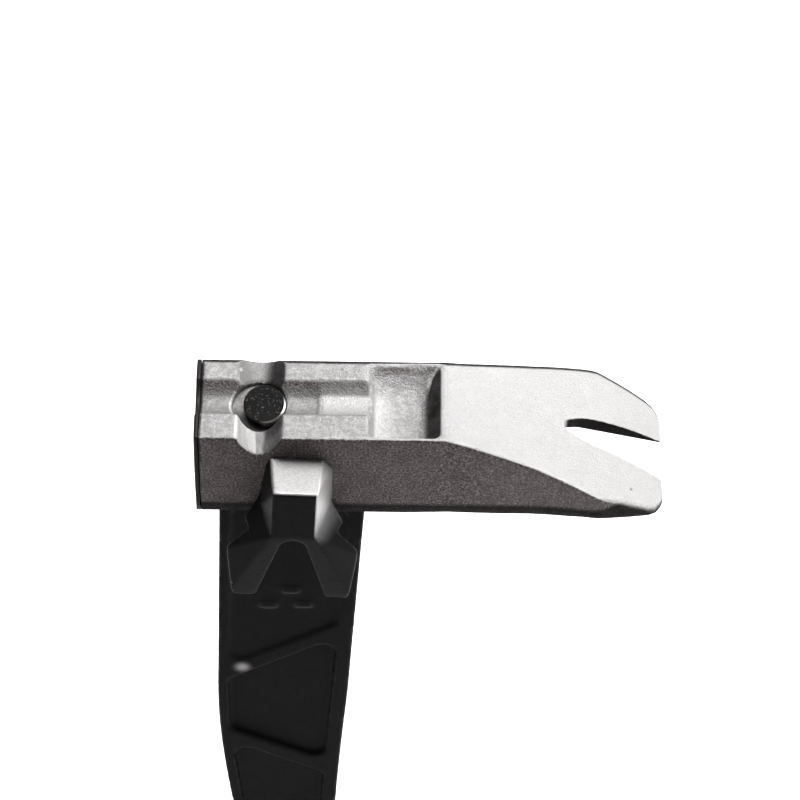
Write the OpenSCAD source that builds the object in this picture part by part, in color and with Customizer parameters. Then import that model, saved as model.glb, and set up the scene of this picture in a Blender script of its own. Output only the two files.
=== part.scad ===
// Hammer-headed pry bar: cast head with a straight rip claw, magnetic nail
// starter and side nail puller on a forged, coated handle with a moulded grip.
// Frame: origin at the centre of the butt's flat end, +Z up to the head,
// -X towards the striking face, +X towards the claw, -Y the puller's side.

/* [Overall] */
// Height from the flat of the butt to the top of the head
total_h = 440; // [425:1:460]
// Width of the poll from cheek to cheek
poll_w = 32; // [31.6:0.1:32.6]
// Height of the poll
poll_h = 37.2; // [36.6:0.1:37.8]

/* [Head] */
// Distance of the striking face in front of the handle axis
face_x = 28.2; // [27.8:0.1:28.8]
// Distance of the claw tips behind the handle axis
tip_x = 113.9; // [113.6:0.1:114.4]
// Radius of the round nail groove on top
groove_r = 7.5; // [7.2:0.1:7.8]
// Depth of the nail groove
groove_d = 4.2; // [3.6:0.1:4.6]
// Half width of the nail head pocket
pocket_hw = 14.5; // [13.9:0.1:14.7]
// Depth of the nail head pocket where the groove meets it
pocket_d = 5.3; // [5:0.1:6]
// Depth of the cross scoop at the puller's side
scoop_near = 8.1; // [7:0.1:8.6]
// Depth of the cross scoop at the far side
scoop_far = 1.7; // [1:0.1:2.5]
// Radius of the root of the claw's nail slot
slot_root_r = 2.4; // [2.2:0.1:2.6]
// Half width of the claw's nail slot at its mouth
slot_mouth = 7.5; // [7:0.1:8]
// How far the claw's nail slot lies off the middle, away from the puller
slot_off = 0; // [0:0.1:0.6]

/* [Magnet] */
// Diameter of the disc magnet
magnet_d = 12.7; // [12:0.1:12.9]
// Thickness of the disc magnet
magnet_t = 4; // [3:0.1:4.4]
// Tilt of the magnet's face towards the puller's side
magnet_tilt = 15; // [12:0.2:16]

/* [Side nail puller] */
// How far the puller stands out from the cheek
puller_out = 14.3; // [13:0.1:15]
// Depth of its top below the top of the head
puller_drop = 9; // [8.6:0.1:10]
// Half width across its two claws
puller_half_w = 20; // [19:0.1:20.6]
// Length of its claws below the head
puller_len = 31.4; // [29:0.1:33]

/* [Handle] */
// Half width of the handle just under the head
neck_hw = 22.5; // [22:0.1:23]
// Half width of the handle above the grip
waist_hw = 15; // [14:0.1:15.6]
// Thickness of the handle just under the head
neck_t = 17; // [16:0.5:19]
// Thickness of the handle above the grip
waist_t = 13; // [12:0.5:14]
// Depth of the handle's cells on each side
cell_d = 1.5; // [1:0.1:2.2]

/* [Grip] */
// Height of the top of the grip
grip_top = 182; // [176:1:188]
// Radius of the hanging hole
hang_r = 4.5; // [4:0.1:4.8]

/* [Hidden] */
$fn = 64;

zt = total_h;                 // top of the head
zu = zt - poll_h;             // underside of the poll
zc = zt - poll_h / 2;         // middle of the striking face
hw = poll_w / 2;              // cheek
neck_cx = 1.2;                // middle of the handle under the head
zp = zt - 33.8;               // level of the crotch of the side nail puller
bore_tilt = 12.4;             // tilt of the magnet's bore
lean = 2.4;                   // the handle leans this much under the head
plate_t = 1.7;                // part of the strike plate that stands proud
steel = [0.73, 0.72, 0.71];
black = [0.10, 0.10, 0.11];
rubber = [0.13, 0.13, 0.13];

// ---- curves -------------------------------------------------------------
// top line of the head, measured down from zt
function ztop(x) = x < 47 ? 0 : -(0.22 * (x - 47) + 0.000042 * pow(x - 47, 3));
// underside of the head, measured down from zt
under = [[36, 0], [45, 0.4], [55, 1.8], [65, 3.9], [75, 6.6], [85, 9.7], [90, 11.5], [94, 12.2], [98.5, 11.4], [104, 10.4], [108, 9.7], [tip_x, 8.9]];
// half width of the claw along its length
flare = [[44, 0], [48, 0.2], [54.5, 1.1], [64.5, 2.9], [74.4, 4.95], [84.3, 7.5], [91, 9.3], [93.8, 9.8], [95.2, 9.6], [104, 7.5], [109.5, 6], [111.6, 4.8], [113, 2.8], [tip_x, 0]];

// centre line of the handle
function smooth(t) = t * t * (3 - 2 * t);
function herm(t) = (pow(t, 3) - 2 * t * t + t) * 30 + (-2 * pow(t, 3) + 3 * t * t) * (neck_cx - tan(lean) * 106) + (pow(t, 3) - t * t) * tan(lean) * 300;
function cx(z) = z >= zu - 106 ? neck_cx + tan(lean) * (z - zu) : herm(z / (zu - 106));
// half width of the handle's beam
function beam_hw(z) = z > zu - 90 ? neck_hw - 1.2 * (zu - z) / 90
    : waist_hw + (neck_hw - 1.2 - waist_hw) * smooth(max(0, (z - grip_top)) / (zu - 90 - grip_top));

// a polygon with its corners rounded to r, for corners given anticlockwise
function unit(v) = v / norm(v);
function rpoly(p, r, n = 6) = [for (i = [0:len(p) - 1])
    let (a = p[(i + len(p) - 1) % len(p)], b = p[i], c = p[(i + 1) % len(p)],
         u = unit(a - b), v = unit(c - b),
         half = acos(u * v) / 2,
         m = unit(u + v), o = b + m * r / sin(half),
         s = b + u * r / tan(half) - o, e = b + v * r / tan(half) - o,
         a0 = atan2(s[1], s[0]), d0 = atan2(e[1], e[0]) - a0,
         d = d0 > 180 ? d0 - 360 : (d0 < -180 ? d0 + 360 : d0))
    for (k = [0:n]) o + r * [cos(a0 + d * k / n), sin(a0 + d * k / n)]];

// extrudes an XZ outline symmetrically along Y
module slab(t) { translate([0, t / 2, 0]) rotate([90, 0, 0]) linear_extrude(t) children(); }

// ---- head ---------------------------------------------------------------
profile = concat(
    [for (p = under) [p[0], -poll_h + p[1]]],
    [[tip_x, ztop(tip_x)]], [for (x = [108:-4:48]) [x, ztop(x)]],
    [[47, 0], [-face_x + plate_t, 0], [-face_x + plate_t, -poll_h]]);
plan = concat(
    [for (p = flare) [p[0], -hw - p[1]]],
    [for (i = [len(flare) - 1:-1:0]) [flare[i][0], hw + flare[i][1]]],
    [[-face_x + plate_t, hw], [-face_x + plate_t, -hw]]);

scoop_line = [[-14.9, 0], [-14.3, 0.27], [-13.2, 0.53], [-11.4, 0.81], [-9.3, 0.98], [-7.4, 0.97], [-5.8, 0.85], [-4.2, 0.6], [-2.9, 0.34], [-1.95, 0.1], [-1.7, -0.2]];

module scoop_end(d, y) {
    translate([0, y, zt]) rotate([90, 0, 0]) linear_extrude(0.02)
        polygon(concat([for (p = scoop_line) [p[0], -p[1] * d]], [[-1.7, 3], [-14.9, 3]]));
}
module cross_scoop() { hull() { scoop_end(scoop_far, hw + 0.5); scoop_end(scoop_near, -hw - 0.5); } }

module nail_starter() {
    // round groove that holds the shank, then a shallower channel
    translate([-face_x - 1, 0.4, zt + groove_r - groove_d]) rotate([0, 90, 0]) cylinder(r = groove_r, h = face_x + 1 + 9.6);
    translate([9, 0.4, zt + 6]) rotate([0, 90, 0]) cylinder(r = 9.2, h = 16.5);
    // scooped pocket for the nail's head, with a steep back wall
    intersection() {
        // the wall on the far side sweeps down slowly, the near one is steep
        translate([22, 0, zt]) rotate([0, 3.5, 0]) rotate([90, 0, 90]) linear_extrude(30) {
            intersection() {
                polygon(rpoly([[-20, -pocket_d], [pocket_hw + 1.6, -pocket_d], [pocket_hw + 1.6, 24], [-20, 24]], 14, 20));
                translate([-2, -10]) square([20, 15]);
            }
            intersection() {
                polygon(rpoly([[-pocket_hw, -pocket_d], [20, -pocket_d], [20, 20], [-pocket_hw, 20]], 3.6, 10));
                translate([-16, -10]) square([14.01, 15]);
            }
        }
        slab(60) polygon([[23.6, zt + 3], [24.2, zt], [25.6, zt - 3], [26.4, zt - 9], [40.9, zt - 9], [41.3, zt - 6.2], [42.2, zt - 4.8], [46.2, zt], [48, zt + 3]]);
    }
    cross_scoop();
    // blind bore for the magnet, square to the scoop's floor
    translate([-8.8, 0.1, zt - 3.9]) rotate([bore_tilt, 0, 0]) translate([0, 0, -5.5]) cylinder(r = 8.2, h = 14);
}

module slot_bevel() {
    hull() {
        translate([114, 0, 0]) rotate([90, 0, 90]) linear_extrude(0.02) polygon([[-7.6, zt - 28], [7.6, zt - 28], [12, zt - 33], [-12, zt - 33]]);
        translate([84, 0, 0]) rotate([90, 0, 90]) linear_extrude(0.02) polygon([[-3.2, zt - 14.9], [3.2, zt - 14.9], [20, zt - 33], [-20, zt - 33]]);
        translate([78, 0, 0]) rotate([90, 0, 90]) linear_extrude(0.02) polygon([[-1, zt - 18.2], [1, zt - 18.2], [14, zt - 33], [-14, zt - 33]]);
        translate([66, 0, 0]) rotate([90, 0, 90]) linear_extrude(0.02) polygon([[-1, zt - 33], [1, zt - 33], [3, zt - 36], [-3, zt - 36]]);
    }
}

// half width of the slot along the claw
slot_w = [[86, slot_root_r + 0.25], [87.2, 3.2], [89, 3.95], [91.5, 4.6], [94, 5], [100, 5.8], [106, 6.45], [tip_x + 2, slot_mouth]];
module claw_slot() {
    translate([0, slot_off, zt - 40]) linear_extrude(50) {
        translate([86, 0]) circle(r = slot_root_r, $fn = 48);
        polygon(concat([for (p = slot_w) [p[0], -p[1]]], [for (i = [len(slot_w) - 1:-1:0]) slot_w[i]]));
    }
    translate([0, slot_off, 0]) slot_bevel();
}

module in_lean() { translate([neck_cx, 0, zu]) rotate([0, lean, 0]) children(); }
screw_x = 2.9;
screw_z = zu + 12.8;
pin_x = [-9.5, 14.5];
pin_z = zu + 8;
lock_x = -22.3;

module cross_hole(x, z, r, y0, y1) { translate([x, y0, z]) rotate([-90, 0, 0]) cylinder(r = r, h = y1 - y0); }

module head() {
    color(steel) difference() {
        intersection() {
            translate([0, 0, zt]) slab(80) polygon(profile);
            translate([0, 0, zu - 5]) linear_extrude(poll_h + 10) polygon(plan);
        }
        nail_starter();
        claw_slot();
        // socket for the handle's tang
        in_lean() translate([-17, -7, -2]) cube([34, 14, 22]);
        // seat and bore for the strike face
        translate([-face_x + plate_t - 1, -12.8, zu + 3]) cube([3.2, 25.6, poll_h - 9]);
        translate([-face_x, 0, zc]) rotate([0, 90, 0]) cylinder(r = 7.05, h = plate_t + 8.6);
        // lock screw, puller screw and pins, all from the far cheek
        cross_hole(lock_x, zc, 2.55, 5, hw + 1);
        cross_hole(screw_x, screw_z, 4.25, -hw - 1, hw + 1);
        cross_hole(screw_x, screw_z, 7.1, hw - 6, hw + 1);
        for (x = pin_x) cross_hole(x, pin_z, 2.02, -11, hw + 1);
        // seat for the puller's tenon
        translate([screw_x - 6.05, -hw - 1, screw_z - 6.05]) cube([12.1, 3.6, 12.1]);
    }
}

module strike_face() {
    color([0.62, 0.62, 0.62]) difference() {
        union() {
            translate([-face_x, -hw, zu]) cube([plate_t, poll_w, poll_h]);
            translate([-face_x + plate_t - 0.01, -12.7, zu + 3.1]) cube([2.11, 25.4, poll_h - 9.2]);
            translate([-face_x + plate_t, 0, zc]) rotate([0, 90, 0]) cylinder(r = 7, h = 8.4);
        }
        // the nail groove runs out through the plate
        translate([-face_x - 1, 0.4, zt + groove_r - groove_d]) rotate([0, 90, 0]) cylinder(r = groove_r, h = 8);
        // flat for the lock screw
        translate([lock_x - 3.4, 6.3, zc - 4]) cube([6.8, 3, 8]);
    }
}

module face_lock_screw() {
    color([0.2, 0.2, 0.2]) difference() {
        cross_hole(lock_x, zc, 2.5, 6.35, hw - 0.4);
        translate([lock_x, hw - 3.2, zc]) rotate([-90, 0, 0]) cylinder(r = 1.44, h = 4, $fn = 6);
    }
}

module nail_magnet() {
    color([0.16, 0.15, 0.15]) translate([-7.1, 0.1, zt - 2.9]) rotate([magnet_tilt, 0, 0]) translate([0, 0, -magnet_t]) {
        cylinder(r = magnet_d / 2, h = magnet_t - 0.45);
        translate([0, 0, magnet_t - 0.45]) cylinder(r1 = magnet_d / 2, r2 = magnet_d / 2 - 0.45, h = 0.45);
    }
}

module magnet_potting() {
    color([0.35, 0.34, 0.33]) difference() {
        translate([-8.8, 0.1, zt - 3.9]) rotate([bore_tilt, 0, 0]) translate([0, 0, -5.45]) cylinder(r = 8.15, h = 3.1);
        translate([-7.1, 0.1, zt - 2.9]) rotate([magnet_tilt, 0, 0]) translate([0, 0, -magnet_t - 0.02]) cylinder(r = magnet_d / 2 + 0.02, h = magnet_t + 2);
    }
}

// ---- side nail puller ----------------------------------------------------
pl = -hw - puller_out;       // front of the block
ptop = zt - puller_drop;
module p_in() { translate([1.9, 0, zp]) rotate([0, 2.4, 0]) children(); }
bh = ptop - zp;              // height of the block above the crotch

module puller_block() {
    hull() {
        translate([-7.8, -hw - 0.05, bh - 0.05]) cube([15.6, 0.05, 0.05]);
        translate([-9.2, -hw - 0.05, bh - 3.8]) cube([20.2, 0.05, 0.05]);
        translate([-11.6, -hw - 0.05, -1]) cube([23.2, 0.05, 1]);
        translate([-6.75, pl, 4]) cube([13.5, 0.05, bh - 4]);
        translate([-6.9, pl + 1.6, -1]) cube([13.8, 0.05, 2]);
    }
}
// one claw: from the block out to the tip, s is 1 or -1
module puller_leg(s) {
    hull() {
        // where it grows out of the block
        translate([s > 0 ? 0 : -7.6, -hw - 0.05, 4]) cube([7.6, 0.05, 11]);
        translate([s > 0 ? 0 : -6.8, pl, 3.9]) cube([6.8, 0.05, 0.6]);
        // shoulder and outer edge
        translate([s * 14 - 0.8, -hw - 5.0, -4.4]) cube([1.6, 1.8, 1.6]);
        translate([s * (puller_half_w - 0.4) - 0.4, -hw - 7.4, -13.5]) cube([0.8, 2.4, 3]);
        // the tip, ground to an edge
        translate([s * 14.3 - 3.4, -25.3, -puller_len]) cube([6.8, 1.3, 1]);
        translate([s * 14.4 - 3.9, -25.8, -puller_len + 3]) cube([7.8, 3, 1]);
    }
}
module puller_notch() {
    slab(120) polygon(concat(
        [[-11.2, -puller_len - 2], [11.2, -puller_len - 2]],
        [[4.1, -2], [3.4, 0], [2.4, 1.1], [1.2, 1.7], [-1.2, 1.7], [-2.4, 1.1], [-3.4, 0], [-4.1, -2]]));
}
module side_nail_puller() {
    color([0.2, 0.2, 0.2]) difference() {
        union() {
            difference() {
                p_in() {
                    puller_block();
                    puller_leg(1);
                    puller_leg(-1);
                }
                p_in() puller_notch();
                // nothing reaches behind the cheek
                translate([-40, -hw - 0.02, zp - 45]) cube([80, 40, 100]);
                // room for a nail's head behind the claws
                p_in() translate([-30, -hw - 3.2, -40]) rotate([6, 0, 0]) cube([60, 12, 39.5]);
            }
            // tenon that stops it turning
            translate([screw_x - 6, -hw - 0.5, screw_z - 6]) cube([12, 3, 12]);
        }
        // threaded hole for the puller screw
        cross_hole(screw_x, screw_z, 4.02, -26.3, 0);
    }
}

module puller_screw() {
    color([0.2, 0.2, 0.2]) difference() {
        union() {
            cross_hole(screw_x, screw_z, 3.98, -25.9, hw - 5.2);
            cross_hole(screw_x, screw_z, 6.5, hw - 5.2, hw - 0.5);
        }
        translate([screw_x, hw - 3.6, screw_z]) rotate([-90, 0, 0]) cylinder(r = 3.46, h = 5, $fn = 6);
    }
}

module puller_lock_washer() {
    color([0.55, 0.55, 0.55]) difference() {
        cross_hole(screw_x, screw_z, 6.8, hw - 5.98, hw - 5.22);
        cross_hole(screw_x, screw_z, 4.1, 0, 20);
    }
}

module head_pins() {
    color([0.5, 0.5, 0.5]) for (x = pin_x) difference() {
        cross_hole(x, pin_z, 2, -10.9, hw - 0.3);
        cross_hole(x, pin_z, 1.1, -20, 20);
    }
}

// ---- handle ---------------------------------------------------------------
beam_z = [for (z = [grip_top - 4:6:zu - 8]) z];
beam = concat(
    [for (z = beam_z) [cx(z) + beam_hw(z), z]], [[cx(zu) + neck_hw, zu - 0.1]],
    [[cx(zu) - neck_hw, zu - 0.1]], [for (i = [len(beam_z) - 1:-1:0]) [cx(beam_z[i]) - beam_hw(beam_z[i]), beam_z[i]]]);
tang_z = [for (z = [30:8:grip_top]) z];
tang = concat([for (z = tang_z) [cx(z) + 11, z]], [for (i = [len(tang_z) - 1:-1:0]) [cx(tang_z[i]) - 11, tang_z[i]]]);

// half thickness of the handle at a height
function half_t(z) = z > zu - 20 ? neck_t / 2 : waist_t / 2 + (neck_t - waist_t) / 2 * max(0, z - grip_top - 8) / (zu - 28 - grip_top);
// inner edges of the two flanges at a height
function fl(z) = cx(z) - beam_hw(z) + 3.4;
function fr(z) = cx(z) + beam_hw(z) - 5;
cells = [
    [[fl(314.5), 314.5], [fr(338), 338], [fr(397), 397], [fl(397), 397]],
    [[fl(279), 279], [fr(262), 262], [fr(330), 330], [fl(306.5), 306.5]],
    [[fl(212), 212], [fr(219), 219], [fr(254), 254], [fl(271), 271]]];
// half thickness of the web in each cell
web = [half_t(335) - cell_d / 2, half_t(290) - cell_d - 0.3, half_t(230) - cell_d - 0.3];
marks = [[0.2, 354.3], [-7, 346.5], [3.9, 346.9]];

module handle_core() {
    color(black) difference() {
        union() {
            difference() {
                intersection() {
                    slab(40) polygon(beam);
                    // tapers in thickness down to the grip
                    rotate([90, 0, 90]) translate([0, 0, -60]) linear_extrude(120)
                        polygon([[-waist_t / 2, 0], [waist_t / 2, 0], [waist_t / 2, grip_top + 8], [neck_t / 2, zu - 20], [neck_t / 2, zu], [-neck_t / 2, zu], [-neck_t / 2, zu - 20], [-waist_t / 2, grip_top + 8]]);
                }
                for (i = [0:2], s = [-1, 1]) translate([0, s > 0 ? web[i] + 20 : -web[i], total_h - 440])
                    rotate([90, 0, 0]) linear_extrude(20) polygon(rpoly(cells[i], 4));
            }
            for (m = marks, s = [-1, 1]) translate([m[0] - 2.3, s * (web[0] + 0.2) - 0.7, m[1] - 0.8 + total_h - 440])
                cube([4.6, 1.4, 1.6]);
            slab(8) polygon(tang);
            // tang in the head
            in_lean() translate([-16.9, -6.9, -1]) cube([33.8, 13.8, 20.8]);
        }
        cross_hole(screw_x, screw_z, 4.25, -20, 20);
        for (x = pin_x) cross_hole(x, pin_z, 2.02, -20, 20);
        for (z = rivet_z) cross_hole(cx(z), z, 2.55, -20, 20);
    }
}

// ---- grip -----------------------------------------------------------------
rivet_z = [62, 112, 160];
hang_z = 17;
// half sizes of the grip's outside at a height: front and back in X, side in Y
gz = [5, 8, 14, 22, 32, 46, 62, 80, 100, 122, 144, 160, 172, 182];
gf = [19.5, 21, 21.6, 21, 19.4, 17.6, 17, 17.4, 18, 18, 17.3, 17, 17.6, 18.6];
gb = [16.5, 17.6, 18, 18, 17.6, 17, 16.6, 16.8, 17.2, 17.2, 16.7, 16.6, 17.2, 18.2];
gs = [12.6, 13.6, 14, 14, 13.6, 13, 12.9, 13.4, 14, 14, 13.3, 12.9, 13, 13.4];
seg = 40;
function se(a, f, b, s) = let (c = cos(a), d = sin(a), p = 0.78)
    [(c < 0 ? -f : b) * pow(abs(c), p), s * sign(d) * pow(abs(d), p)];
function ring(i, off) = [for (k = [0:seg - 1]) let (q = se(360 * k / seg, gf[i] - off, gb[i] - off, gs[i] - off)) [q[0] + cx(gz[i]), q[1], gz[i]]];
module grip_solid(off, i0, i1) {
    n = i1 - i0 + 1;
    pts = [for (i = [i0:i1]) each ring(i, off)];
    sides = [for (i = [0:n - 2], k = [0:seg - 1]) each [
        [i * seg + k, (i + 1) * seg + k, (i + 1) * seg + (k + 1) % seg],
        [i * seg + k, (i + 1) * seg + (k + 1) % seg, i * seg + (k + 1) % seg]]];
    polyhedron(pts, concat(sides, [[for (k = [0:seg - 1]) k]], [[for (k = [seg - 1:-1:0]) (n - 1) * seg + k]]), convexity = 4);
}

module grip_sleeve() {
    color(rubber) difference() {
        grip_solid(0, 0, 13);
        translate([0, 0, -0.05]) grip_solid(3.6, 0, 13);
        translate([0, 0, 0.2]) grip_solid(3.6, 11, 13);
        cross_hole(cx(hang_z), hang_z, 6.55, -30, 30);
    }
}

module shell_half(s) {
    color([0.16, 0.16, 0.17]) difference() {
        intersection() {
            grip_solid(3.75, 3, 12);
            translate([-60, s > 0 ? 0.05 : -40.05, 30.2]) cube([120, 40, grip_top - 40.4]);
        }
        slab(8.2) polygon([for (p = tang) [p[0] + (p[0] > cx(p[1]) ? 0.1 : -0.1), p[1]]]);
        for (z = rivet_z) cross_hole(cx(z), z, 2.55, -20, 20);
    }
}
module grip_shell_near() { shell_half(-1); }
module grip_shell_far() { shell_half(1); }

module grip_rivets() {
    color([0.6, 0.6, 0.6]) for (z = rivet_z) cross_hole(cx(z), z, 2.5, -8.2, 8.2);
}

module grip_collar() {
    color([0.15, 0.15, 0.16]) difference() {
        translate([cx(grip_top + 3), 0, grip_top + 0.1]) linear_extrude(5) polygon(rpoly([[-18.9, -13.4], [18.5, -13.4], [18.5, 13.4], [-18.9, 13.4]], 7, 8));
        slab(waist_t + 0.1) polygon([for (p = beam) [p[0] + (p[0] > cx(p[1]) ? 0.15 : -0.15), p[1]]]);
        translate([cx(grip_top), 0, grip_top - 1]) translate([-13, -4.15, 0]) cube([26, 8.3, 2]);
    }
}

module butt_cap() {
    color([0.12, 0.12, 0.13]) difference() {
        union() {
            // foot plate with a bevelled lower edge, and a boss up into the sleeve
            linear_extrude(5) polygon([for (k = [0:seg - 1]) let (q = se(360 * k / seg, 19.3, 16.3, 12.4)) [q[0] + cx(5), q[1]]]);
            translate([cx(hang_z) - 10, -8.6, 4]) cube([20, 17.2, 25.6]);
        }
        cross_hole(cx(hang_z), hang_z, 6.55, -30, 30);
    }
}

module hang_hole_bush() {
    color([0.6, 0.6, 0.6]) difference() {
        cross_hole(cx(hang_z), hang_z, 6.5, -14, 14);
        cross_hole(cx(hang_z), hang_z, hang_r, -30, 30);
    }
}

head();
strike_face();
face_lock_screw();
nail_magnet();
magnet_potting();
side_nail_puller();
puller_screw();
puller_lock_washer();
handle_core();
head_pins();
grip_shell_near();
grip_shell_far();
grip_rivets();
grip_sleeve();
grip_collar();
butt_cap();
hang_hole_bush();
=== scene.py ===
import bpy, bmesh, math
import numpy as np
from mathutils import Vector, Matrix, noise


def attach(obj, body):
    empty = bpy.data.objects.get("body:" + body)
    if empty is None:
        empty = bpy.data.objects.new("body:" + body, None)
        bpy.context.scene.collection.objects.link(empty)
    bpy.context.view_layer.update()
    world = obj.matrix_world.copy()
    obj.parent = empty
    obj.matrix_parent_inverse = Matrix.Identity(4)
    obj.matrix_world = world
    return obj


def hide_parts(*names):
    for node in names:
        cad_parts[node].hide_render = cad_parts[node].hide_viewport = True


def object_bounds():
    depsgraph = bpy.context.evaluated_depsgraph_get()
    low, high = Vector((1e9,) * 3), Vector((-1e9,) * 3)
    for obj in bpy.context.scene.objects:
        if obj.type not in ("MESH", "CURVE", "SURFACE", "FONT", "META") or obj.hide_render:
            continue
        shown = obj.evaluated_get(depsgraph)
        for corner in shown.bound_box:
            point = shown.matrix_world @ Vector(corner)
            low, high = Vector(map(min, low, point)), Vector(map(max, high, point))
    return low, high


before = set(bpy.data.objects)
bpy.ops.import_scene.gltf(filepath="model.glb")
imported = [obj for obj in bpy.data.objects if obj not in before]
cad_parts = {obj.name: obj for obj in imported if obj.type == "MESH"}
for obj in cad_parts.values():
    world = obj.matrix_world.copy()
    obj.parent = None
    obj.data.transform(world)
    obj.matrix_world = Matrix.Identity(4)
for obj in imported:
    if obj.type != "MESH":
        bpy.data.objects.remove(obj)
cad_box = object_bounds()
lo_all, hi_all = cad_box
MM = 0.001
col = bpy.context.scene.collection

# ---------------------------------------------------------------- camera
TARGET = Vector((33.7, -0.2, 440.0)) * MM
ELEV, DIST, ROLL = math.radians(50.0), 1.25, math.radians(0.8)
cam_data = bpy.data.cameras.new("camera")
cam = bpy.data.objects.new("camera", cam_data)
col.objects.link(cam)
back = Vector((0, -math.cos(ELEV), math.sin(ELEV)))
up0 = Vector((0, math.sin(ELEV), math.cos(ELEV)))
right0 = Vector((1, 0, 0))
right = right0 * math.cos(ROLL) + up0 * math.sin(ROLL)
up = up0 * math.cos(ROLL) - right0 * math.sin(ROLL)
m = Matrix((right, up, back)).transposed().to_4x4()
m.translation = TARGET + back * DIST
cam.matrix_world = m
cam_data.lens = 187
cam_data.sensor_width = 36
cam_data.clip_start = 0.05
cam_data.clip_end = 30
bpy.context.scene.camera = cam

# ---------------------------------------------------------------- materials
def new_mat(name):
    mat = bpy.data.materials.new(name)
    mat.use_nodes = True
    nt = mat.node_tree
    nt.nodes.clear()
    out = nt.nodes.new("ShaderNodeOutputMaterial")
    bs = nt.nodes.new("ShaderNodeBsdfPrincipled")
    nt.links.new(bs.outputs[0], out.inputs[0])
    tc = nt.nodes.new("ShaderNodeTexCoord")
    return mat, nt, bs, tc.outputs["Object"]

def tex_noise(nt, co, scale, detail=3.0, rough=0.6, distortion=0.0):
    n = nt.nodes.new("ShaderNodeTexNoise")
    n.inputs["Scale"].default_value = scale
    n.inputs["Detail"].default_value = detail
    n.inputs["Roughness"].default_value = rough
    n.inputs["Distortion"].default_value = distortion
    nt.links.new(co, n.inputs["Vector"])
    return n.outputs["Fac"]

def ramp(nt, fac, stops):
    r = nt.nodes.new("ShaderNodeValToRGB")
    el = r.color_ramp.elements
    while len(el) < len(stops):
        el.new(0.5)
    for e, (p, c) in zip(el, stops):
        e.position = p
        e.color = (c, c, c, 1) if isinstance(c, (int, float)) else (*c, 1)
    nt.links.new(fac, r.inputs[0])
    return r.outputs[0]

def math_node(nt, op, a, b=None, clamp=False):
    n = nt.nodes.new("ShaderNodeMath")
    n.operation = op
    n.use_clamp = clamp
    for i, v in enumerate((a, b)):
        if v is None:
            continue
        if isinstance(v, (int, float)):
            n.inputs[i].default_value = v
        else:
            nt.links.new(v, n.inputs[i])
    return n.outputs[0]

def mix_col(nt, fac, a, b, mode="MIX"):
    n = nt.nodes.new("ShaderNodeMix")
    n.data_type = "RGBA"
    n.blend_type = mode
    def put(sock, v):
        if isinstance(v, tuple):
            sock.default_value = (*v, 1)
        elif isinstance(v, (int, float)):
            sock.default_value = v if sock.type == "VALUE" else (v, v, v, 1)
        else:
            nt.links.new(v, sock)
    put(n.inputs[0], fac)
    put(n.inputs[6], a)
    put(n.inputs[7], b)
    return n.outputs[2]

def bump(nt, bs, height, strength, dist=0.0002, chain=None):
    b = nt.nodes.new("ShaderNodeBump")
    b.inputs["Strength"].default_value = strength
    b.inputs["Distance"].default_value = dist
    nt.links.new(height, b.inputs["Height"])
    if chain is not None:
        nt.links.new(chain, b.inputs["Normal"])
    nt.links.new(b.outputs[0], bs.inputs["Normal"])
    return b.outputs[0]

def smooth_step(nt, v, lo, hi):
    n = nt.nodes.new("ShaderNodeMapRange")
    n.interpolation_type = "SMOOTHSTEP"
    nt.links.new(v, n.inputs["Value"])
    n.inputs["From Min"].default_value = lo
    n.inputs["From Max"].default_value = hi
    n.inputs["To Min"].default_value = 0.0
    n.inputs["To Max"].default_value = 1.0
    return n.outputs["Result"]

def split(nt, v):
    n = nt.nodes.new("ShaderNodeSeparateXYZ")
    nt.links.new(v, n.inputs[0])
    return n.outputs

def geometry(nt):
    return nt.nodes.new("ShaderNodeNewGeometry").outputs

def voronoi(nt, co, scale, rand=1.0):
    n = nt.nodes.new("ShaderNodeTexVoronoi")
    n.inputs["Scale"].default_value = scale
    n.inputs["Randomness"].default_value = rand
    nt.links.new(co, n.inputs["Vector"])
    return n.outputs["Distance"]

def steel_colour(nt, co, lo=0.27, hi=0.48):
    """Blasted casting: fine grain over soft clouds."""
    grain = tex_noise(nt, co, 1500, 3.0, 0.7)
    soft = tex_noise(nt, co, 230, 4.0, 0.6)
    broad = tex_noise(nt, co, 34, 3.0, 0.5)
    c = ramp(nt, grain, [(0.30, (lo, lo * 0.985, lo * 0.98)), (0.70, (hi, hi * 0.99, hi * 0.987))])
    c = mix_col(nt, ramp(nt, soft, [(0.38, 0.0), (0.72, 0.22)]), c, (lo, lo * 0.985, lo * 0.98))
    c = mix_col(nt, ramp(nt, broad, [(0.40, 0.0), (0.70, 0.14)]), c, (hi * 1.08, hi * 1.07, hi * 1.066))
    return c, grain, soft

def pits(nt, co):
    spot = voronoi(nt, co, 210)
    rare = tex_noise(nt, co, 75, 2.0, 0.5)
    return math_node(nt, "MULTIPLY", ramp(nt, spot, [(0.05, 1.0), (0.16, 0.0)]), ramp(nt, rare, [(0.60, 0.0), (0.66, 1.0)]))

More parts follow.
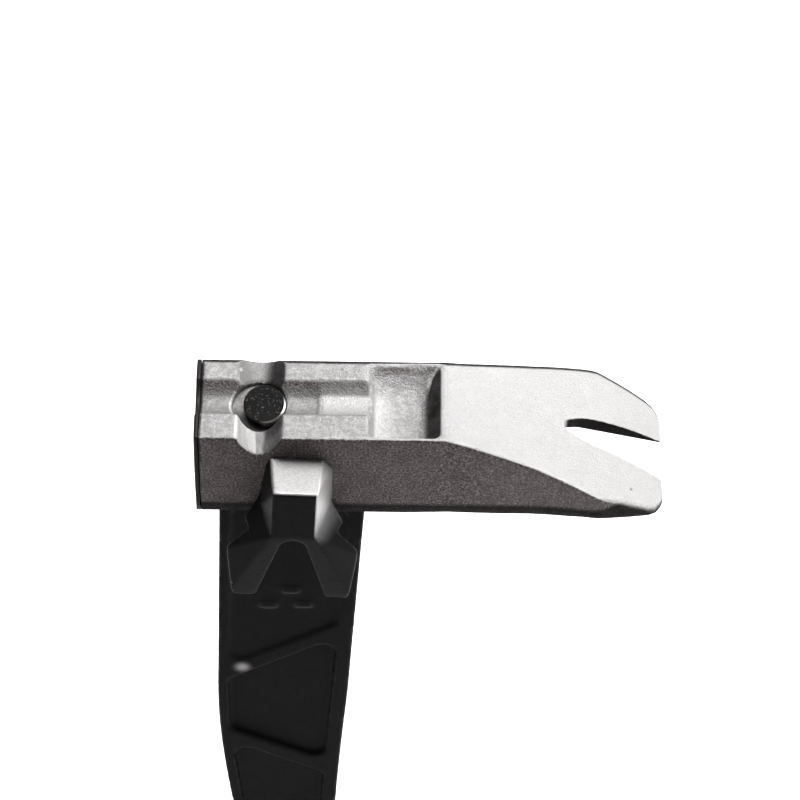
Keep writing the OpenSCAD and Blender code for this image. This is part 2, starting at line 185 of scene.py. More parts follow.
def cast_steel():
    mat, nt, bs, co = new_mat("cast_steel")
    c, grain, soft = steel_colour(nt, co)
    pit = pits(nt, co)
    x, y, z = split(nt, co)
    # the ground claw is finer and painted lighter, a painted highlight where the light from the right falls; the rails
    # are blotchier; the groove has painted shade up to a painted highlight on its lead-in
    claw_finish_and_highlight = smooth_step(nt, x, 0.040, 0.050)
    c = mix_col(nt, math_node(nt, "MULTIPLY", claw_finish_and_highlight, 0.62), c, (0.46, 0.455, 0.452))
    blot = ramp(nt, tex_noise(nt, co, 520, 2.0, 0.6), [(0.40, 0.0), (0.60, 0.55)])
    c = mix_col(nt, math_node(nt, "MULTIPLY", blot, math_node(nt, "SUBTRACT", 1.0, claw_finish_and_highlight)), c, (0.22, 0.212, 0.21))
    # painted shade on the groove's floor before its lead-in
    low = math_node(nt, "SUBTRACT", 1.0, smooth_step(nt, z, 0.4374, 0.4390))
    painted_groove_shade = math_node(nt, "MULTIPLY", low, math_node(nt, "SUBTRACT", 1.0, smooth_step(nt, x, 0.0088, 0.0096)))
    c = mix_col(nt, math_node(nt, "MULTIPLY", painted_groove_shade, 0.42), c, (0.17, 0.162, 0.16))
    # painted highlight on the groove's shallower lead-in floor
    painted_lead_in_highlight = math_node(nt, "MULTIPLY", smooth_step(nt, x, 0.0090, 0.0098), math_node(nt, "SUBTRACT", 1.0, smooth_step(nt, x, 0.0236, 0.0244)))
    painted_lead_in_highlight = math_node(nt, "MULTIPLY", painted_lead_in_highlight, math_node(nt, "SUBTRACT", 1.0, smooth_step(nt, y, 0.0026, 0.0044)))
    painted_lead_in_highlight = math_node(nt, "MULTIPLY", painted_lead_in_highlight, math_node(nt, "SUBTRACT", 1.0, smooth_step(nt, z, 0.4382, 0.4392)))
    c = mix_col(nt, math_node(nt, "MULTIPLY", painted_lead_in_highlight, 0.75), c, (0.48, 0.475, 0.472))
    # painted highlight on the hollow's slope that faces the claw, towards the light from the right, with painted shade
    # on its far part
    gx, gy, gz = split(nt, geometry(nt)["Normal"])
    painted_slope_highlight = math_node(nt, "MULTIPLY", smooth_step(nt, gx, 0.10, 0.30), math_node(nt, "SUBTRACT", 1.0, smooth_step(nt, x, -0.0075, -0.0055)))
    painted_slope_highlight = math_node(nt, "MULTIPLY", painted_slope_highlight, smooth_step(nt, z, 0.4270, 0.4290))
    painted_slope_light_and_shade = mix_col(nt, smooth_step(nt, y, 0.0040, 0.0085), (0.60, 0.595, 0.59), (0.17, 0.166, 0.164))
    c = mix_col(nt, math_node(nt, "MULTIPLY", painted_slope_highlight, 0.85), c, painted_slope_light_and_shade)
    # painted shade on the groove's far wall, which faces away from the light
    painted_groove_wall_shade = math_node(nt, "MULTIPLY", smooth_step(nt, math_node(nt, "MULTIPLY", gy, -1.0), 0.16, 0.40), smooth_step(nt, y, 0.0020, 0.0040))
    painted_groove_wall_shade = math_node(nt, "MULTIPLY", painted_groove_wall_shade, math_node(nt, "SUBTRACT", 1.0, smooth_step(nt, x, 0.0240, 0.0250)))
    c = mix_col(nt, math_node(nt, "MULTIPLY", painted_groove_wall_shade, 0.62), c, (0.075, 0.069, 0.068))
    # painted highlight on the pocket's floor at its mouth, and painted shade towards its back wall
    front = math_node(nt, "MULTIPLY", smooth_step(nt, x, 0.0252, 0.0262), math_node(nt, "SUBTRACT", 1.0, smooth_step(nt, x, 0.0265, 0.0350)))
    front = math_node(nt, "MULTIPLY", front, math_node(nt, "SUBTRACT", 1.0, smooth_step(nt, y, 0.0020, 0.0090)))
    front = math_node(nt, "MULTIPLY", front, math_node(nt, "SUBTRACT", 1.0, smooth_step(nt, z, 0.4380, 0.4392)))
    front = math_node(nt, "MULTIPLY", front, ramp(nt, grain, [(0.35, 0.40), (0.65, 0.85)]))
    c = mix_col(nt, front, c, (0.56, 0.555, 0.55))
    painted_pocket_shade = math_node(nt, "MULTIPLY", smooth_step(nt, x, 0.0372, 0.0420), math_node(nt, "SUBTRACT", 1.0, smooth_step(nt, z, 0.4365, 0.4385)))
    painted_pocket_shade = math_node(nt, "MULTIPLY", painted_pocket_shade, ramp(nt, grain, [(0.35, 0.62), (0.62, 0.20)]))
    painted_pocket_shade = math_node(nt, "MULTIPLY", painted_pocket_shade, math_node(nt, "SUBTRACT", 1.0, smooth_step(nt, x, 0.0418, 0.0425)))
    c = mix_col(nt, painted_pocket_shade, c, (0.06, 0.054, 0.053))
    c = mix_col(nt, math_node(nt, "MULTIPLY", pit, 0.65), c, (0.03, 0.028, 0.027))
    # worn bright edges
    edge = ramp(nt, geometry(nt)["Pointiness"], [(0.505, 0.0), (0.55, 0.6)])
    c = mix_col(nt, edge, c, (0.58, 0.575, 0.57))
    # the flanks are darker than the ground top: forging scale, and painted shade on the sides the light does not
    # reach, painted lighter towards the claw end where the light from the right falls
    nx, ny, nz = split(nt, geometry(nt)["Normal"])
    flank_scale_and_shade = smooth_step(nt, math_node(nt, "ABSOLUTE", ny), 0.60, 0.85)
    flank_scale_and_shade_colour = ramp(nt, grain, [(0.40, (0.085, 0.072, 0.072)), (0.56, (0.235, 0.206, 0.206)), (0.70, (0.46, 0.42, 0.42))])
    flank_scale_and_shade_colour = mix_col(nt, ramp(nt, soft, [(0.45, 0.0), (0.72, 0.40)]), flank_scale_and_shade_colour, (0.095, 0.081, 0.081))
    flank_scale_and_shade_colour = mix_col(nt, math_node(nt, "MULTIPLY", smooth_step(nt, x, 0.045, 0.070), 0.14), flank_scale_and_shade_colour, (0.40, 0.37, 0.37))
    c = mix_col(nt, flank_scale_and_shade, c, flank_scale_and_shade_colour)
    # and painted shade makes the underside, a band along its lower edges, the steep walls facing the striking end and
    # the claw slot's walls nearly black; the far top edge is darkened with them
    down = smooth_step(nt, math_node(nt, "MULTIPLY", nz, -1.0), 0.03, 0.34)
    rise = math_node(nt, "POWER", math_node(nt, "DIVIDE", math_node(nt, "MAXIMUM", math_node(nt, "SUBTRACT", x, 0.045), 0.0), 0.049), 1.25)
    height = math_node(nt, "SUBTRACT", math_node(nt, "SUBTRACT", z, 0.4028), math_node(nt, "MULTIPLY", rise, 0.0122))
    height = math_node(nt, "ADD", height, math_node(nt, "MULTIPLY", smooth_step(nt, x, 0.075, 0.100), 0.0016))
    height = math_node(nt, "ADD", height, math_node(nt, "MULTIPLY", math_node(nt, "SUBTRACT", soft, 0.5), 0.0012))
    band = math_node(nt, "SUBTRACT", 1.0, smooth_step(nt, height, 0.0054, 0.0078))
    corner = math_node(nt, "MULTIPLY", smooth_step(nt, x, 0.094, 0.100), math_node(nt, "SUBTRACT", 1.0, smooth_step(nt, y, -0.014, -0.010)))
    flat = math_node(nt, "SUBTRACT", nz, math_node(nt, "MULTIPLY", corner, 0.30))
    band = math_node(nt, "MULTIPLY", band, math_node(nt, "SUBTRACT", 1.0, smooth_step(nt, flat, 0.10, 0.40)))
    down = math_node(nt, "MAXIMUM", down, math_node(nt, "MULTIPLY", band, 0.92))
    far = math_node(nt, "MULTIPLY", smooth_step(nt, ny, 0.08, 0.26), smooth_step(nt, y, 0.0125, 0.0138))
    minus_x = math_node(nt, "MULTIPLY", nx, -1.0)
    wall = math_node(nt, "MULTIPLY", smooth_step(nt, minus_x, 0.36, 0.72), smooth_step(nt, x, 0.0403, 0.0426))
    wall = math_node(nt, "MULTIPLY", wall, smooth_step(nt, z, 0.430, 0.432))
    early = math_node(nt, "ADD", minus_x, math_node(nt, "MULTIPLY", smooth_step(nt, y, 0.003, 0.008), 0.12))
    painted_slope_shade = math_node(nt, "MULTIPLY", smooth_step(nt, early, 0.10, 0.44), math_node(nt, "MULTIPLY", smooth_step(nt, z, 0.4275, 0.430), math_node(nt, "SUBTRACT", 1.0, smooth_step(nt, x, -0.0010, 0.0))))
    painted_slope_shade = math_node(nt, "MULTIPLY", painted_slope_shade, math_node(nt, "ADD", 0.60, math_node(nt, "ADD", math_node(nt, "MULTIPLY", smooth_step(nt, y, -0.0135, -0.0090), 0.26), math_node(nt, "MULTIPLY", smooth_step(nt, y, -0.002, 0.008), 0.12))))
    slot = math_node(nt, "MULTIPLY", smooth_step(nt, math_node(nt, "MULTIPLY", ny, -1.0), 0.55, 0.9), smooth_step(nt, x, 0.082, 0.0835))
    slot = math_node(nt, "MULTIPLY", slot, smooth_step(nt, y, -0.003, 0.0))
    # scale is this painted-shade mask; it also raises roughness and lowers metallic below
    scale = down
    for other in (far, wall, painted_slope_shade, slot):
        scale = math_node(nt, "MAXIMUM", scale, other)
    scale = math_node(nt, "MULTIPLY", scale, ramp(nt, soft, [(0.30, 1.0), (0.80, 0.88)]))
    c = mix_col(nt, scale, c, (0.007, 0.006, 0.006))
    nt.links.new(c, bs.inputs["Base Color"])
    nt.links.new(math_node(nt, "ADD", ramp(nt, soft, [(0.3, 0.50), (0.75, 0.60)]), math_node(nt, "MULTIPLY", scale, 0.2)), bs.inputs["Roughness"])
    nt.links.new(math_node(nt, "MULTIPLY", math_node(nt, "SUBTRACT", 1.0, scale), 0.8), bs.inputs["Metallic"])
    bs.inputs["Specular IOR Level"].default_value = 0.08
    n0 = bump(nt, bs, soft, 0.5, 0.0005)
    n1 = bump(nt, bs, grain, 1.0, 0.00045, n0)
    # the faint line the mould's two halves leave along the top of the claw
    line = math_node(nt, "ABSOLUTE", math_node(nt, "SUBTRACT", y, 0.0011))
    ridge = math_node(nt, "SUBTRACT", 1.0, smooth_step(nt, line, 0.0, 0.00035))
    ridge = math_node(nt, "MULTIPLY", ridge, smooth_step(nt, x, 0.049, 0.053))
    ridge = math_node(nt, "MULTIPLY", ridge, smooth_step(nt, z, 0.4165, 0.4235))
    ridge = math_node(nt, "SUBTRACT", ridge, pit)
    bump(nt, bs, ridge, 0.45, 0.00012, n1)
    return mat

def plain_metal(name, c0, c1, rough, metallic=1.0, scale=900, strength=0.15):
    mat, nt, bs, co = new_mat(name)
    grain = tex_noise(nt, co, scale, 3.0, 0.6)
    nt.links.new(ramp(nt, grain, [(0.3, c0), (0.75, c1)]), bs.inputs["Base Color"])
    nt.links.new(ramp(nt, grain, [(0.3, rough - 0.05), (0.75, rough + 0.07)]), bs.inputs["Roughness"])
    bs.inputs["Metallic"].default_value = metallic
    bump(nt, bs, grain, strength, 0.00008)
    return mat

def ground_steel():
    """The striking plate: ground across, a shade darker than the casting."""
    mat, nt, bs, co = new_mat("strike_steel")
    mp = nt.nodes.new("ShaderNodeMapping")
    mp.inputs["Scale"].default_value = (1.0, 0.03, 1.0)
    nt.links.new(co, mp.inputs["Vector"])
    lines = tex_noise(nt, mp.outputs[0], 2600, 3.0, 0.7)
    grain = tex_noise(nt, co, 1500, 3.0, 0.7)
    wear = tex_noise(nt, co, 120, 4.0, 0.6)
    c = ramp(nt, grain, [(0.30, (0.12, 0.116, 0.114)), (0.72, (0.26, 0.255, 0.25))])
    c = mix_col(nt, ramp(nt, wear, [(0.45, 0.0), (0.75, 0.5)]), c, (0.36, 0.355, 0.35))
    nx, ny, nz = split(nt, geometry(nt)["Normal"])
    # its rim keeps the dark scale of the hardening, and only the face is ground
    rim = smooth_step(nt, nx, -0.93, -0.80)
    c = mix_col(nt, rim, c, (0.016, 0.014, 0.014))
    nt.links.new(c, bs.inputs["Base Color"])
    nt.links.new(ramp(nt, wear, [(0.3, 0.34), (0.75, 0.48)]), bs.inputs["Roughness"])
    nt.links.new(math_node(nt, "MULTIPLY", math_node(nt, "SUBTRACT", 1.0, rim), 0.85), bs.inputs["Metallic"])
    bs.inputs["Specular IOR Level"].default_value = 0.15
    n0 = bump(nt, bs, grain, 0.35, 0.0001)
    bump(nt, bs, lines, 0.15, 0.00006, n0)
    return mat

def coat_nodes(nt, co):
    grain = tex_noise(nt, co, 1500, 3.0, 0.65)
    broad = tex_noise(nt, co, 60, 4.0, 0.55)
    c = ramp(nt, broad, [(0.3, (0.0046, 0.0042, 0.0042)), (0.75, (0.0074, 0.0067, 0.0067))])
    return c, grain, broad

def black_coat(name="black_coating", wear=0.5):
    mat, nt, bs, co = new_mat(name)
    c, grain, broad = coat_nodes(nt, co)
    edge = ramp(nt, geometry(nt)["Pointiness"], [(0.515, 0.0), (0.60, wear)])
    edge = math_node(nt, "MULTIPLY", edge, ramp(nt, broad, [(0.3, 0.25), (0.65, 1.0)]))
    # painted highlight on the raised marks in the top cell
    x, y, z = split(nt, co)
    ay = math_node(nt, "ABSOLUTE", y)
    band = math_node(nt, "MULTIPLY", smooth_step(nt, z, 0.3446, 0.3450), math_node(nt, "SUBTRACT", 1.0, smooth_step(nt, z, 0.3561, 0.3566)))
    painted_mark_highlight = math_node(nt, "MULTIPLY", band, smooth_step(nt, ay, 0.0072, 0.0076))
    painted_mark_highlight = math_node(nt, "MULTIPLY", painted_mark_highlight, math_node(nt, "SUBTRACT", 1.0, smooth_step(nt, math_node(nt, "ABSOLUTE", x), 0.0105, 0.012)))
    edge = math_node(nt, "MAXIMUM", edge, math_node(nt, "MULTIPLY", painted_mark_highlight, 0.22))
    # a painted highlight: one soft bright spot on the puller's side
    far = nt.nodes.new("ShaderNodeVectorMath")
    far.operation = "DISTANCE"
    nt.links.new(co, far.inputs[0])
    far.inputs[1].default_value = (-0.0160, -0.0078, 0.3138)
    painted_glint = math_node(nt, "SUBTRACT", 1.0, smooth_step(nt, far.outputs["Value"], 0.0004, 0.0042))
    edge = math_node(nt, "MAXIMUM", edge, math_node(nt, "MULTIPLY", painted_glint, ramp(nt, grain, [(0.25, 0.75), (0.7, 1.0)])))
    worn = mix_col(nt, painted_glint, (0.16, 0.155, 0.155), (0.50, 0.49, 0.49))
    # edge and worn carry the worn edges together with these painted highlights
    nt.links.new(mix_col(nt, edge, c, worn), bs.inputs["Base Color"])
    nt.links.new(ramp(nt, grain, [(0.3, 0.50), (0.75, 0.64)]), bs.inputs["Roughness"])
    nt.links.new(math_node(nt, "MULTIPLY", edge, 0.8), bs.inputs["Metallic"])
    bs.inputs["Specular IOR Level"].default_value = 0.07
    n0 = bump(nt, bs, broad, 0.12, 0.0003)
    bump(nt, bs, grain, 0.4, 0.0001, n0)
    return mat

def puller_mat():
    """Black coating over the casting, bare steel on top of the block and down its claw side: partly rubbed through,
    partly painted light on the faces the light falls on, with a painted highlight down that claw side.
    """
    mat, nt, bs, co = new_mat("puller_coat_and_painted_light")
    g = geometry(nt)
    coat, grain, broad = coat_nodes(nt, co)
    bare, grain2, soft = steel_colour(nt, co, 0.20, 0.34)
    nx, ny, nz = split(nt, g["Normal"])
    x, y, z = split(nt, co)
    # painted light: upward faces and the +X claw side get bare steel, while the side away from the light keeps the
    # coat
    up = math_node(nt, "MULTIPLY", smooth_step(nt, nz, 0.42, 0.72), smooth_step(nt, z, 0.4175, 0.4215))
    side = math_node(nt, "MULTIPLY", smooth_step(nt, nx, 0.14, 0.36), smooth_step(nt, z, 0.4045, 0.4165))
    jag = math_node(nt, "MULTIPLY", math_node(nt, "SUBTRACT", soft, 0.5), 0.9)
    side = math_node(nt, "MULTIPLY", side, smooth_step(nt, x, 0.0, 0.006))
    bare_and_painted_light_mask = math_node(nt, "MAXIMUM", up, side)
    bare_and_painted_light_mask = math_node(nt, "ADD", bare_and_painted_light_mask, math_node(nt, "MULTIPLY", jag, math_node(nt, "MULTIPLY", bare_and_painted_light_mask, math_node(nt, "SUBTRACT", 1.0, bare_and_painted_light_mask))), clamp=True)
    edge = ramp(nt, g["Pointiness"], [(0.53, 0.0), (0.62, 0.38)])
    edge = math_node(nt, "MULTIPLY", edge, ramp(nt, broad, [(0.25, 0.4), (0.6, 1.0)]))
    edge = math_node(nt, "MULTIPLY", edge, math_node(nt, "SUBTRACT", 1.0, smooth_step(nt, z, 0.409, 0.414)))
    bare_and_painted_light_mask = math_node(nt, "MAXIMUM", bare_and_painted_light_mask, edge)
    # painted highlight: the claw side is painted brighter, most near its top
    painted_flank_highlight = math_node(nt, "ADD", 0.38, math_node(nt, "MULTIPLY", smooth_step(nt, z, 0.4130, 0.4230), 0.50))
    bare = mix_col(nt, math_node(nt, "MULTIPLY", smooth_step(nt, nx, 0.2, 0.5), painted_flank_highlight), bare, (0.62, 0.61, 0.605))
    nt.links.new(mix_col(nt, bare_and_painted_light_mask, coat, bare), bs.inputs["Base Color"])
    nt.links.new(math_node(nt, "MULTIPLY", bare_and_painted_light_mask, 0.8), bs.inputs["Metallic"])
    nt.links.new(ramp(nt, grain, [(0.3, 0.42), (0.75, 0.54)]), bs.inputs["Roughness"])
    bs.inputs["Specular IOR Level"].default_value = 0.07
    n0 = bump(nt, bs, soft, 0.2, 0.0003)
    bump(nt, bs, grain, 0.5, 0.00012, n0)
    return mat

def magnet_mat():
    mat, nt, bs, co = new_mat("dark_nickel")
    spec = tex_noise(nt, co, 1300, 4.0, 0.75)
    cloud = tex_noise(nt, co, 330, 3.0, 0.6)
    c = ramp(nt, cloud, [(0.35, (0.0014, 0.0012, 0.0012)), (0.70, (0.0044, 0.0040, 0.0038))])
    c = mix_col(nt, ramp(nt, spec, [(0.58, 0.0), (0.68, 0.8)]), c, (0.13, 0.12, 0.118))
    g = geometry(nt)
    dot = nt.nodes.new("ShaderNodeVectorMath")
    dot.operation = "DOT_PRODUCT"
    nt.links.new(g["True Normal"], dot.inputs[0])
    dot.inputs[1].default_value = (0.0, -math.sin(math.radians(15)), math.cos(math.radians(15)))
    # painted highlight: the chamfer rim is bright on its lower right, towards the light, and nearly black elsewhere
    rim = ramp(nt, dot.outputs["Value"], [(0.90, 1.0), (0.97, 0.0)])
    nx, ny, nz = split(nt, g["True Normal"])
    glint_side = math_node(nt, "SUBTRACT", math_node(nt, "MULTIPLY", nx, 0.75), math_node(nt, "MULTIPLY", ny, 0.66))
    painted_glint = mix_col(nt, smooth_step(nt, glint_side, 0.38, 0.80), (0.030, 0.028, 0.027), (0.80, 0.78, 0.76))
    c = mix_col(nt, rim, c, painted_glint)
    nt.links.new(c, bs.inputs["Base Color"])
    bs.inputs["Roughness"].default_value = 0.45
    nt.links.new(ramp(nt, dot.outputs["Value"], [(0.90, 1.0), (0.97, 0.0)]), bs.inputs["Metallic"])
    bs.inputs["Specular IOR Level"].default_value = 0.04
    bump(nt, bs, spec, 0.5, 0.00012)
    return mat

def potting_mat():
    """Grey resin, with painted shade on the puller's side."""
    mat, nt, bs, co = new_mat("grey_resin")
    grain = tex_noise(nt, co, 600, 3.0, 0.65)
    c = ramp(nt, grain, [(0.3, (0.13, 0.124, 0.121)), (0.75, (0.34, 0.33, 0.325))])
    y = split(nt, co)[1]
    # painted shade on the near side
    c = mix_col(nt, math_node(nt, "SUBTRACT", 1.0, smooth_step(nt, y, -0.0030, 0.0016)), c, (0.010, 0.009, 0.0088))
    nt.links.new(c, bs.inputs["Base Color"])
    bs.inputs["Roughness"].default_value = 0.55
    bs.inputs["Specular IOR Level"].default_value = 0.2
    bump(nt, bs, grain, 0.4, 0.0001)
    return mat

def rubber(name, base=0.012, rough=0.58):
    mat, nt, bs, co = new_mat(name)
    grain = tex_noise(nt, co, 1900, 3.0, 0.65)
    broad = tex_noise(nt, co, 45, 3.0, 0.5)
    c = ramp(nt, broad, [(0.3, (base, base, base)), (0.75, (base * 1.6, base * 1.58, base * 1.6))])
    edge = ramp(nt, geometry(nt)["Pointiness"], [(0.51, 0.0), (0.60, 0.5)])
    nt.links.new(mix_col(nt, edge, c, (base * 3.2, base * 3.15, base * 3.2)), bs.inputs["Base Color"])
    nt.links.new(ramp(nt, grain, [(0.3, rough - 0.06), (0.75, rough + 0.08)]), bs.inputs["Roughness"])
    bump(nt, bs, grain, 0.35, 0.0001)
    return mat

MAT = {
    "head": cast_steel(),
    "black": black_coat(),
    "puller": puller_mat(),
    "strike": ground_steel(),
    "screw": plain_metal("black_oxide", (0.010, 0.010, 0.011), (0.030, 0.030, 0.031), 0.33, 0.6),
    "magnet": magnet_mat(),
    "potting": potting_mat(),
    "zinc": plain_metal("zinc_plate", (0.34, 0.34, 0.33), (0.50, 0.50, 0.48), 0.26, 1.0, 500, 0.2),
    "rubber": rubber("grip_rubber"),
    "nylon": rubber("nylon", 0.018, 0.42),
}

# ---------------------------------------------------------------- meshes
def mesh_of(ob):
    dg = bpy.context.evaluated_depsgraph_get()
    return bpy.data.meshes.new_from_object(ob.evaluated_get(dg))

def get_co(me):
    co = np.empty(len(me.vertices) * 3)
    me.vertices.foreach_get("co", co)
    return co.reshape(-1, 3)

def put_co(me, co):
    me.vertices.foreach_set("co", co.ravel())
    me.update()

def get_no(me):
    no = np.empty(len(me.vertices) * 3)
    me.vertex_normals.foreach_get("vector", no)
    return no.reshape(-1, 3)

def relax(me, rounds, weight):
    """Rounds edges by moving every vertex towards its neighbours, as much as its weight says."""
    co = get_co(me)
    n = len(co)
    e = np.empty(len(me.edges) * 2, dtype=np.int64)
    me.edges.foreach_get("vertices", e)
    a, b = e.reshape(-1, 2).T
    deg = np.bincount(np.concatenate((a, b)), minlength=n).astype(float)
    w = (weight(co / MM) if callable(weight) else np.full(n, float(weight)))[:, None]
    for _ in range(rounds):
        s = np.stack([np.bincount(a, co[b, k], n) + np.bincount(b, co[a, k], n) for k in range(3)], 1) / deg[:, None]
        co = co + w * (s - co)
    put_co(me, co)

def step(v, lo, hi):
    t = np.clip((v - lo) / (hi - lo), 0, 1)
    return t * t * (3 - 2 * t)

def remeshed(node, name, voxel, rounds, weight=0.5):
    """A voxel skin over a CAD solid with its edges rounded, so its corners look cast or moulded."""
    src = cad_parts[node]
    me = src.data.copy()
    bm = bmesh.new()
    bm.from_mesh(me)
    bmesh.ops.remove_doubles(bm, verts=bm.verts, dist=1e-6)
    bm.to_mesh(me)
    bm.free()
    ob = bpy.data.objects.new(name, me)
    col.objects.link(ob)
    md = ob.modifiers.new("skin", "REMESH")
    md.mode = "VOXEL"
    md.voxel_size = voxel * MM
    md.use_smooth_shade = True
    out = mesh_of(ob)
    ob.modifiers.clear()
    ob.data = out
    ob.data.materials.clear()
    relax(out, rounds, weight)
    out.polygons.foreach_set("use_smooth", np.ones(len(out.polygons), dtype=bool))
    return ob

def finish_piece(ob, mat, *nodes, slot=None):
    ob.data.materials.clear()
    ob.data.materials.append(mat)
    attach(ob, "root")
    if nodes:
        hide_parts(*nodes)

# the head: soft cast corners, kept crisper where the claws thin out
def head_weight(c):
    return 0.5 * (1 - 0.62 * step(c[:, 0], 80, 104))
head = remeshed("head", "head_casting", 0.42, 12, head_weight)
# half width and underside of the head along X, for its rounded lower edges
FL = np.array([[-30, 16], [44, 16], [48, 16.2], [54.5, 17.1], [64.5, 18.9], [74.4, 20.95], [84.3, 23.5], [91, 25.3], [93.8, 25.8], [95.2, 25.6], [104, 23.5], [109.5, 22], [111.6, 20.8], [113, 18.8], [114.2, 16]])
UN = np.array([[-30, 402.8], [36, 402.8], [45, 403.2], [55, 404.6], [65, 406.7], [75, 409.4], [85, 412.5], [90, 414.3], [94, 415], [98.5, 414.2], [104, 413.2], [108, 412.5], [114.2, 411.7]])
def round_edge(me, a, b, low=True, side=0, tip=0.0):
    """Presses everything near a long edge of the head onto a quarter of an ellipse, a wide and b high."""
    co = get_co(me) / MM
    x, y, z = co.T
    k = 1 - 0.6 * step(x, 72, 98) if low else 1 + tip * step(x, 90, 104)
    aa, bb = a * k, b * k
    hw = np.interp(x, FL[:, 0], FL[:, 1])
    if low:
        dz = (np.interp(x, UN[:, 0], UN[:, 1]) + bb) - z
    else:
        top = np.where(x < 47, 0, -(0.22 * (x - 47) + 0.000042 * np.clip(x - 47, 0, None) ** 3)) + 440
        dz = z - (top - bb)
    dy = (y * side if side else np.abs(y)) - (hw - aa)
    hit = (dy > 0) & (dz > 0)
    q = np.hypot(dy / aa, dz / bb) + 1e-9
    f = np.where(hit & (q > 1), 1 / q, 1.0)
    co[:, 1] = np.where(hit, (side if side else np.sign(y)) * (hw - aa + dy * f), y)
    co[:, 2] += np.where(hit, (f - 1) * dz * (-1 if low else 1), 0)
    put_co(me, co * MM)
def head_edges(me):
    round_edge(me, 2.8, 7.5)
    round_edge(me, 3.0, 1.8, low=False, side=1)
    round_edge(me, 1.1, 1.1, low=False, side=-1, tip=1.8)
head_edges(head.data)
relax(head.data, 4, lambda c: 0.5 * np.maximum((1 - step(c[:, 2], 410, 414)) * step(np.abs(c[:, 1]), 9.5, 11), step(np.abs(c[:, 1]), 13.2, 14.4)))
# the pocket's back wall runs softly into its floor
relax(head.data, 60, lambda c: 0.5 * step(c[:, 0], 35, 38) * (1 - step(c[:, 0], 42.2, 43.2)) * step(c[:, 2], 432, 433) * (1 - step(np.abs(c[:, 1]), 13.2, 14.4)))
# soft run-outs where the groove meets its lead-in and the pocket
relax(head.data, 14, lambda c: 0.5 * (step(c[:, 0], 8.4, 9.2) * (1 - step(c[:, 0], 10.2, 11)) + step(c[:, 0], 24, 24.8) * (1 - step(c[:, 0], 27, 28))) * step(c[:, 2], 432.5, 433.5) * (1 - step(np.abs(c[:, 1]), 13, 14)))
finish_piece(head, MAT["head"], "head", slot="cast_steel")

# the striking plate, slightly crowned
strike = remeshed("strike_face", "strike_plate", 0.36, 12)
co = get_co(strike.data) / MM
out_side = 1 - step(co[:, 0], -27.8, -26.6)
r2 = co[:, 1] ** 2 + (co[:, 2] - (hi_all[2] / MM - 18.6)) ** 2
co[:, 0] += out_side * r2 / 2 / 1100
put_co(strike.data, co * MM)
head_edges(strike.data)
finish_piece(strike, MAT["strike"], "strike_face", slot="strike_steel")

puller = remeshed("side_nail_puller", "puller_claw", 0.33, 12, lambda c: 0.5 * step(-c[:, 1], 16.3, 17.6))
finish_piece(puller, MAT["puller"], "side_nail_puller", slot="black_coating")
handle = remeshed("handle_core", "handle_forging", 0.5, 9)
finish_piece(handle, MAT["black"], "handle_core", slot="black_coating")

# the grip: moulded ribs fore and aft, and a sunk panel of slanting treads on each side
grip = remeshed("grip_sleeve", "grip_rubber", 0.65, 5)
me = grip.data
co, no = get_co(me) / MM, get_no(me)
zz = co[:, 2]
gz = np.array([5, 8, 14, 22, 32, 46, 62, 80, 100, 122, 144, 160, 172, 182.0])
gf = np.array([19.5, 21, 21.6, 21, 19.4, 17.6, 17, 17.4, 18, 18, 17.3, 17, 17.6, 18.6])
gb = np.array([16.5, 17.6, 18, 18, 17.6, 17, 16.6, 16.8, 17.2, 17.2, 16.7, 16.6, 17.2, 18.2])
gs = np.array([12.6, 13.6, 14, 14, 13.6, 13, 12.9, 13.4, 14, 14, 13.3, 12.9, 13, 13.4])
t = zz / 296.8
tl = math.tan(math.radians(2.4))
mid = (t ** 3 - 2 * t * t + t) * 30 + (-2 * t ** 3 + 3 * t * t) * (1.2 - tl * 106) + (t ** 3 - t * t) * tl * 300
dx, dy = co[:, 0] - mid, co[:, 1]
half = np.where(dx < 0, np.interp(zz, gz, gf), np.interp(zz, gz, gb))
side = np.interp(zz, gz, gs)
q = (np.abs(dx / half) ** (2 / 0.78) + np.abs(dy / side) ** (2 / 0.78)) ** (0.78 / 2)
outer = step(q, 0.86, 0.92)
span = step(zz, 33, 41) * (1 - step(zz, 166, 174))
front = step(np.abs(dx / half), 0.66, 0.80)
rib = 0.5 - 0.5 * np.cos(2 * np.pi * (zz + 0.10 * np.abs(dy) ** 1.6) / 5.2)
d = 0.95 * front * rib ** 1.6
wide = 9.2 * np.sqrt(np.clip(1 - ((zz - 103) / 63) ** 2, 0, 1))
inside = step(wide - np.abs(dx), 0.0, 1.3) * (zz > 41) * (zz < 166)
tread = 0.5 - 0.5 * np.cos(2 * np.pi * (zz + np.sign(dx + 1e-9) * dx * 0.9) / 6.4)
tread = step(tread, 0.25, 0.75)
d += inside * (1 - front) * (0.35 + 0.65 * tread)
lip = np.exp(-((zz - 27) / 1.1) ** 2) + np.exp(-((zz - 176.5) / 0.9) ** 2)
d = d * span + 0.55 * lip
co -= no * (outer * d)[:, None]
put_co(me, co * MM)
finish_piece(grip, MAT["rubber"], "grip_sleeve", slot="grip_rubber")

collar = remeshed("grip_collar", "grip_collar_ring", 0.33, 5)
finish_piece(collar, MAT["nylon"], "grip_collar", slot="nylon")
butt = remeshed("butt_cap", "butt_foot", 0.42, 6)
finish_piece(butt, MAT["nylon"], "butt_cap", slot="nylon")

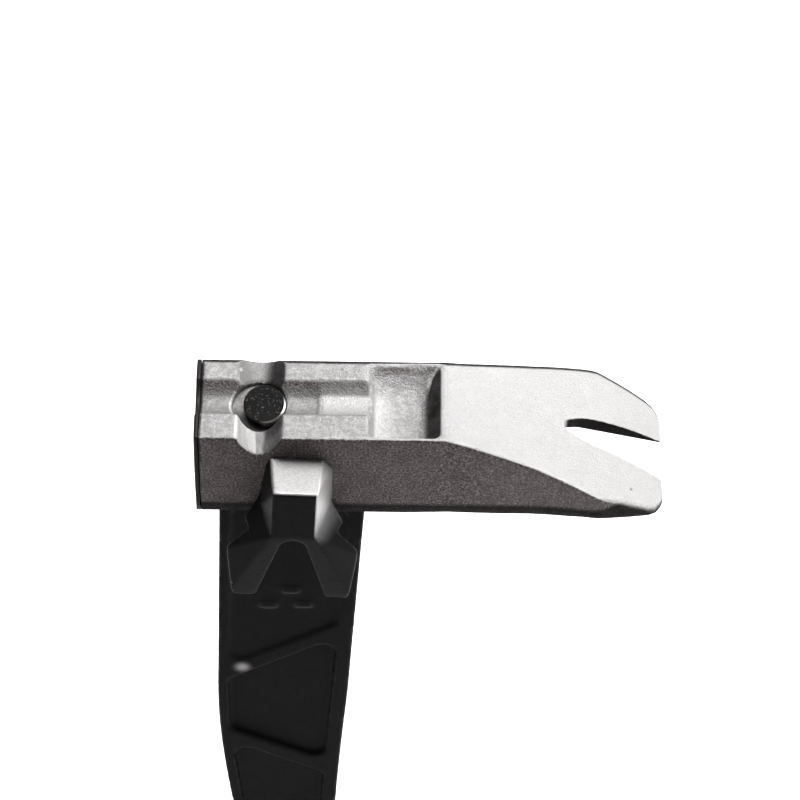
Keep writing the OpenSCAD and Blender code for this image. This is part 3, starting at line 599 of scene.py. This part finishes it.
# small machined pieces keep their CAD shape, with a broken edge
for node, key, w in (("face_lock_screw", "screw", 0.2), ("nail_magnet", "magnet", 0.0), ("magnet_potting", "potting", 0.12),
                     ("puller_screw", "screw", 0.3), ("puller_lock_washer", "zinc", 0.1), ("head_pins", "zinc", 0.15),
                     ("grip_shell_near", "nylon", 0.0), ("grip_shell_far", "nylon", 0.0), ("grip_rivets", "zinc", 0.2),
                     ("hang_hole_bush", "zinc", 0.35)):
    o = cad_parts[node]
    o.data.materials.clear()
    o.data.materials.append(MAT[key])
    if w:
        wd = o.modifiers.new("weld", "WELD")
        wd.merge_threshold = 1e-6
        bv = o.modifiers.new("edge", "BEVEL")
        bv.width = w * MM
        bv.segments = 3
        bv.limit_method = "ANGLE"
        bv.angle_limit = math.radians(40)
        bv.harden_normals = True

# ---------------------------------------------------------------- stage
floor_me = bpy.data.meshes.new("floor")
s = 6.0
floor_me.from_pydata([(-s, -s, 0), (s, -s, 0), (s, s, 0), (-s, s, 0)], [], [(0, 1, 2, 3)])
floor = bpy.data.objects.new("floor", floor_me)
col.objects.link(floor)
fm, fnt, fbs, fco = new_mat("floor_paper")
fbs.inputs["Base Color"].default_value = (0.92, 0.92, 0.92, 1)
fbs.inputs["Roughness"].default_value = 0.9
floor.data.materials.append(fm)

world = bpy.data.worlds.new("world")
world.use_nodes = True
world.node_tree.nodes["Background"].inputs[0].default_value = (1.0, 0.97, 0.97, 1)
world.node_tree.nodes["Background"].inputs[1].default_value = 0.20
bpy.context.scene.world = world

def area(name, pos, target, size, power, sy=None):
    d = bpy.data.lights.new(name, "AREA")
    d.energy = power
    d.size = size
    if sy:
        d.shape = "RECTANGLE"
        d.size_y = sy
    o = bpy.data.objects.new(name, d)
    col.objects.link(o)
    o.location = pos
    o.rotation_euler = (Vector(target) - Vector(pos)).to_track_quat("-Z", "Y").to_euler()
    return o

area("key_back", (0.40, 0.52, 1.34), (0.05, 0.03, 0.42), 0.9, 6.2)
area("right_back", (1.25, 0.30, 0.92), (0.06, 0.0, 0.42), 0.8, 19, 0.9)
wash = area("floor_wash", (0.03, 0.45, 1.35), (0.03, 0.43, 0.0), 0.7, 5.6)
wash.data.spread = math.radians(70)

bpy.context.scene.view_settings.view_transform = "Standard"
